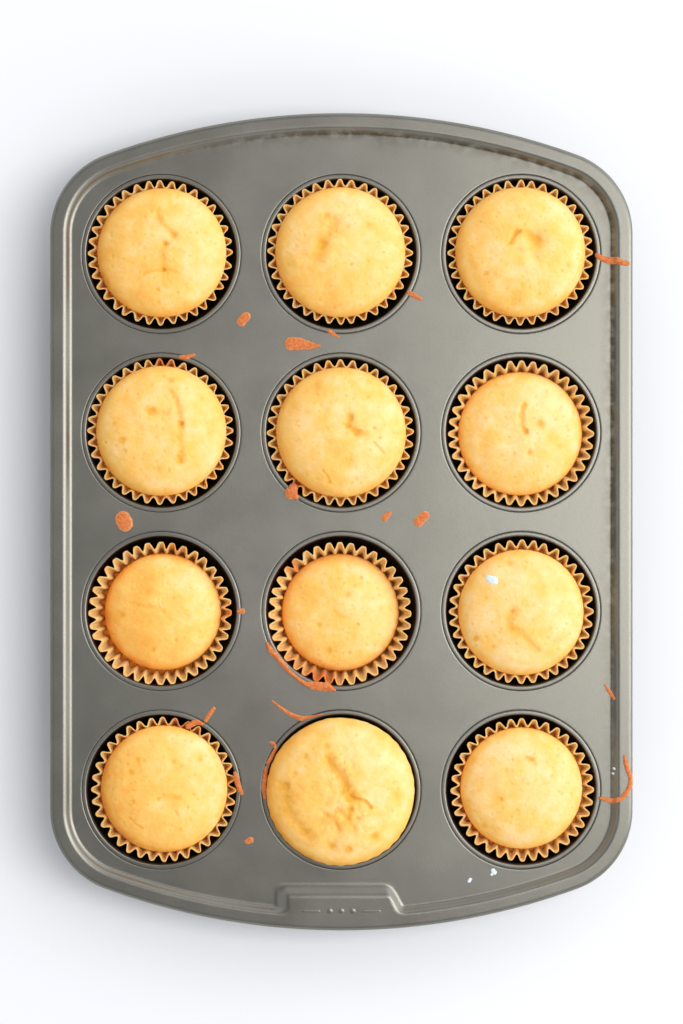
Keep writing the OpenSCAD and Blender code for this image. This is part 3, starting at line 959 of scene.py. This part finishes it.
# Where batter ran over and baked on: (height, [(x, y, half width), ...]), in millimetres from the tin's
# middle. Crumbs are listed likewise.
DRIPS = [
    (0.7, [(-48, 96.3, 2.3), (-45.8, 98.7, 2.2)]),
    (0.9, [(-24.1, 85.7, 3.2), (-19.8, 85.5, 3), (-15.5, 84.8, 2), (-10.7, 84.5, 0.7)]),
    (0.4, [(-5.9, 91.7, 0.9), (-3.9, 90.3, 0.9), (-1.5, 88.8, 0.4)]),
    (0.6, [(32.4, 110.2, 1), (35, 108.8, 1.2), (38.1, 107.1, 0.9)]),
    (0.9, [(123, 128.3, 1), (125.4, 126.6, 1.3), (128.8, 125.6, 1.8), (132.2, 125.6, 1.6),
           (135.1, 124.4, 1.3), (137.5, 124, 1.1)]),
    (0.6, [(-77.3, 79.2, 0.9), (-74.2, 79.2, 1.1), (-70.8, 80.4, 0.7)]),
    (0.8, [(-105, 1.3, 3.8), (-104, -0.9, 3.7)]),
    (1.4, [(-23.2, 16.2, 2.2), (-24.1, 13.8, 3.1), (-21.7, 11.9, 1.4)]),
    (0.5, [(20.8, 1.8, 1.6), (23, 4.2, 1.1)]),
    (0.7, [(37.2, 0.1, 2.5), (40.1, 3, 2.2)]),
    (0.8, [(-49.4, -43, 0.9), (-47.7, -43, 1.4)]),
    (1, [(-35.7, -58.3, 0.7), (-34.2, -61.7, 1.3), (-30.9, -65.2, 1.3), (-27.8, -69, 1.2),
           (-24.9, -72.2, 1), (-21.3, -75.2, 0.9), (-17.4, -77.9, 1.1), (-12.6, -79, 2.1),
           (-7.2, -79.3, 2.1), (-3.5, -81, 0.8)]),
    (0.7, [(-65.3, -95.6, 0.9), (-63.3, -92.5, 1.1), (-61.4, -89.9, 0.9)]),
    (1, [(-73.7, -98.3, 1.3), (-69.8, -96.3, 1.4), (-67, -97.1, 0.8)]),
    (1, [(-51.1, -120.9, 0.9), (-50.4, -123.8, 1.3), (-49.2, -127.6, 1.2), (-48, -130.5, 1)]),
    (0.5, [(-33.3, -86.2, 0.4), (-28.5, -90.1, 0.7), (-23.7, -93, 1), (-19.3, -94.7, 1.2),
           (-14, -93.7, 0.5), (-9.2, -92.5, 0.3)]),
    (0.5, [(-34.2, -106, 0.6), (-32.3, -106.7, 0.8), (-31.6, -109.3, 0.7), (-33.3, -112.7, 0.9),
           (-35.2, -116.1, 0.9)]),
    (1, [(-36.2, -118.5, 0.8), (-36.7, -123.3, 1.3), (-36.7, -128.1, 1.7), (-36.2, -132.4, 1.3),
           (-34.2, -134.8, 0.7)]),
    (0.6, [(-45.3, -153.8, 1.3), (-43.6, -153.1, 1.5)]),
    (0.5, [(127.1, -78.8, 0.6), (128.8, -81.4, 0.9), (131, -85, 0.7)]),
    (0.9, [(135.8, -112.2, 0.4), (136.5, -115.6, 1.2), (137.5, -119, 1.1), (138.9, -122.8, 1),
           (138.7, -126.6, 1.1), (136.7, -130.5, 1.2), (134.1, -133.1, 1.1), (130.5, -134.3, 1.2),
           (126.4, -133.4, 1), (124, -132.7, 0.6)]),
]
CRUMBS = [
    (0.8, [(73, -167.8, 1.1), (73.5, -168.5, 1.3)]),
    (0.5, [(72.1, -169.5, 0.5), (72.4, -169.7, 0.6)]),
    (0.5, [(62, -171.9, 0.7), (61.5, -172.8, 0.8)]),
    (0.4, [(131, -118.5, 0.5), (131.2, -118.8, 0.5)]),
    (0.4, [(130.5, -120.9, 0.5), (130.7, -121.1, 0.5)]),
]
# Browned places on the cases, as (direction in degrees from the cup's middle, spread, strength).
TOASTED = {
    "b1": [(86, 9, 0.9)],
    "b2": [(230, 7, 0.8)],
    "c1": [(77, 8, 0.5), (0, 6, 0.6)],
    "c2": [(134, 6, 0.7), (225, 12, 0.45), (254, 13, 1.2)],
    "d1": [(72, 13, 0.8), (5, 8, 0.5)],
    "d2": [(183, 16, 1.0)],
}


def rim_heights():
    """Insets and heights of the sheet's upper side from the curl down to the panel."""
    path = np.array(slope_path())
    along = np.gradient(path, axis=0)
    along /= np.linalg.norm(along, axis=1)[:, None]
    top = path + np.column_stack([-along[:, 1], along[:, 0]]) * SHEET_T / 2
    return -top[::-1, 0], top[::-1, 1]


RIM_INSETS, RIM_HEIGHTS = rim_heights()


def surface_z(x, y):
    """Height of the tin's upper side at a point. It counts the cups' beads, but not their hollows."""
    z = np.interp(inset_of(x, y), RIM_INSETS, RIM_HEIGHTS)
    z += (FLANGE_Z - z) * pad_lift(x, y)
    return z + BEAD_RISE if to_nearest_cup(x, y) < COLLAR_R else z


def make_smear(name, height, path, material, body="tin", height_below=surface_z):
    """A low, ragged-edged blob or streak lying along a path of (x, y, half width), in millimetres."""
    path = np.array(path)
    step, margin = 0.2, 1.0
    lo = (path[:, :2] - path[:, 2:]).min(axis=0) - margin
    hi = (path[:, :2] + path[:, 2:]).max(axis=0) + margin
    xs, ys = np.arange(lo[0], hi[0], step), np.arange(lo[1], hi[1], step)
    grid = np.array([(x, y) for y in ys for x in xs])
    fill = np.full(len(grid), -1.0)
    for a, b in zip(path, path[1:]):
        run = b[:2] - a[:2]
        along = np.clip((grid - a[:2]) @ run / (run @ run), 0, 1)
        far = np.linalg.norm(grid - a[:2] - along[:, None] * run, axis=1)
        fill = np.maximum(fill, 1 - far / (a[2] + (b[2] - a[2]) * along))
    ragged, buried = 0.09, -0.1
    fill += ragged * fractals(grid, 1.3, 3, height)
    inside = fill > 0
    used, faces = {}, []
    for j in range(len(ys) - 1):
        for i in range(len(xs) - 1):
            a = j * len(xs) + i
            corners = (a, a + 1, a + 1 + len(xs), a + len(xs))
            if any(inside[k] for k in corners):
                faces.append(tuple(used.setdefault(k, len(used)) for k in corners))
    verts, thin = [], []
    for k in used:
        x, y = grid[k] * MM
        full = min(1.0, max(0.0, fill[k]))
        up = height * math.sqrt(full * (2 - full)) if inside[k] else buried
        verts.append((x, y, height_below(x, y) + up * MM))
        thin.append(smoothstep(0.35, 0.0, full) * 0.5)
    obj = new_object(name, verts, faces, material)
    set_attribute(obj, "thin", thin)
    solidify(obj, 0.1 * MM, -1.0)
    place(obj, body, "sponge")


def top_of(obj):
    """A function that gives the height of an object's top near a point."""
    tree = kdtree.KDTree(len(obj.data.vertices))
    lowest = max(v.co.z for v in obj.data.vertices) - 15 * MM
    for v in obj.data.vertices:
        if v.co.z > lowest:
            tree.insert((v.co.x, v.co.y, 0), v.index)
    tree.balance()
    return lambda x, y: obj.data.vertices[tree.find((x, y, 0))[1]].co.z


def make_spills(cakes):
    """The drips and crumbs on the tin, and a speck of flour on one cake."""
    for number, (height, path) in enumerate(DRIPS, 1):
        make_smear(f"drip_{number}", height, path, DRIP)
    for number, (height, path) in enumerate(CRUMBS, 1):
        make_smear(f"crumb_{number}", height, path, FLOUR)
    x, y = CUPS["c3"] / MM + (-14.4, 15.4)  # on the dome's upper left
    speck = [(x - 1.2, y + 0.4, 1.7), (x + 0.9, y - 0.5, 2.0)]
    make_smear("flour_speck", 0.5, speck, FLOUR, "muffin_c3", top_of(cakes["c3"]))


# ---------------------------------------------------------------- camera, light and floor


def make_camera():
    """Straight above the tin, as far off as a person holding a camera over a low table."""
    height = 1.4
    aim_x, aim_y = 0.1 * MM, 4.7 * MM
    frame_height = 492.5 * MM  # what the picture's long side covers at the panel's height
    data = bpy.data.cameras.new("camera")
    data.sensor_width = 36
    data.lens = data.sensor_width * height / frame_height
    obj = add_to_scene("camera", data)
    obj.location = (aim_x, aim_y, PANEL_Z + height)
    bpy.context.scene.camera = obj


def area_light(name, position, target, size, power, colour):
    data = bpy.data.lights.new(name, "AREA")
    data.shape = "RECTANGLE"
    data.size, data.size_y = size
    data.energy = power
    data.color = colour
    obj = add_to_scene(name, data)
    obj.location = position
    obj.rotation_euler = (Vector(target) - Vector(position)).to_track_quat("-Z", "Y").to_euler()


def make_world():
    """Soft light from all round, brightest to the right and dimmest to the left. It is darker straight
    above, where the steel would mirror it, and less so in a narrow band across the middle."""
    world = bpy.data.worlds.new("studio")
    world.use_nodes = True
    sky = Nodes(world.node_tree)
    direction = sky.add("TexCoord").outputs["Generated"]
    rightward = {0: direction, 1: (0.88, 0.36, 0.30)}
    across = sky.add("VectorMath", rightward, operation="DOT_PRODUCT").outputs["Value"]
    left = sky.between(across, -1.0, -0.5, 0.30, 0.92)
    slow_rise = sky.between(across, -0.6, 1.0, 0.0, 0.34)
    far_right = sky.between(across, 0.55, 0.95, 0.0, 0.9)
    side = sky.maths("ADD", left, sky.maths("ADD", slow_rise, far_right))
    axes = sky.add("SeparateXYZ", {"Vector": direction}).outputs
    overhead = sky.between(axes["Z"], 0.66, 0.95)
    off_middle = sky.maths("ABSOLUTE", sky.maths("SUBTRACT", axes["Y"], 0.045))
    shade = sky.between(off_middle, 0.02, 0.16, 0.32, 1.0)
    open_sky = sky.maths("SUBTRACT", 1.0, sky.maths("MULTIPLY", overhead, shade))
    strength = sky.maths("MULTIPLY", side, open_sky)
    background = world.node_tree.nodes["Background"]
    sky.set(background, "Color", (0.96, 0.98, 1.0, 1))
    sky.set(background, "Strength", strength)
    bpy.context.scene.world = world


def make_lights():
    """A wide window above and to the right, facing down. The steel mirrors its near edge, so it is
    paler towards the right."""
    make_world()
    window_x, window_y, window_z = 1.25, 0.09, 1.9
    area_light("window", (window_x, window_y, window_z), (window_x, window_y, 0), size=(2.1, 0.86),
               power=31, colour=(1.0, 0.985, 0.955))
    bpy.context.scene.view_settings.view_transform = "Standard"


def make_floor():
    half = 3
    corners = [(-half, -half, 0), (half, -half, 0), (half, half, 0), (-half, half, 0)]
    obj = new_object("floor", corners, [(0, 1, 2, 3)], pale_floor(), smooth=False)


make_camera()
make_lights()
make_floor()
make_top_sheet()
make_motif()
make_cups()
cakes = {}
for seed, tag in enumerate(TAGS, 11):
    case = Case(tag)
    make_paper_case(tag, case, TOASTED.get(tag, []))
    cakes[tag] = make_cake(tag, case, TONES.get(tag, 0.0), seed)
make_spills(cakes)
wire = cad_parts["rim_wire"]
wire.data.materials.clear()
wire.data.materials.append(drawn_wire())
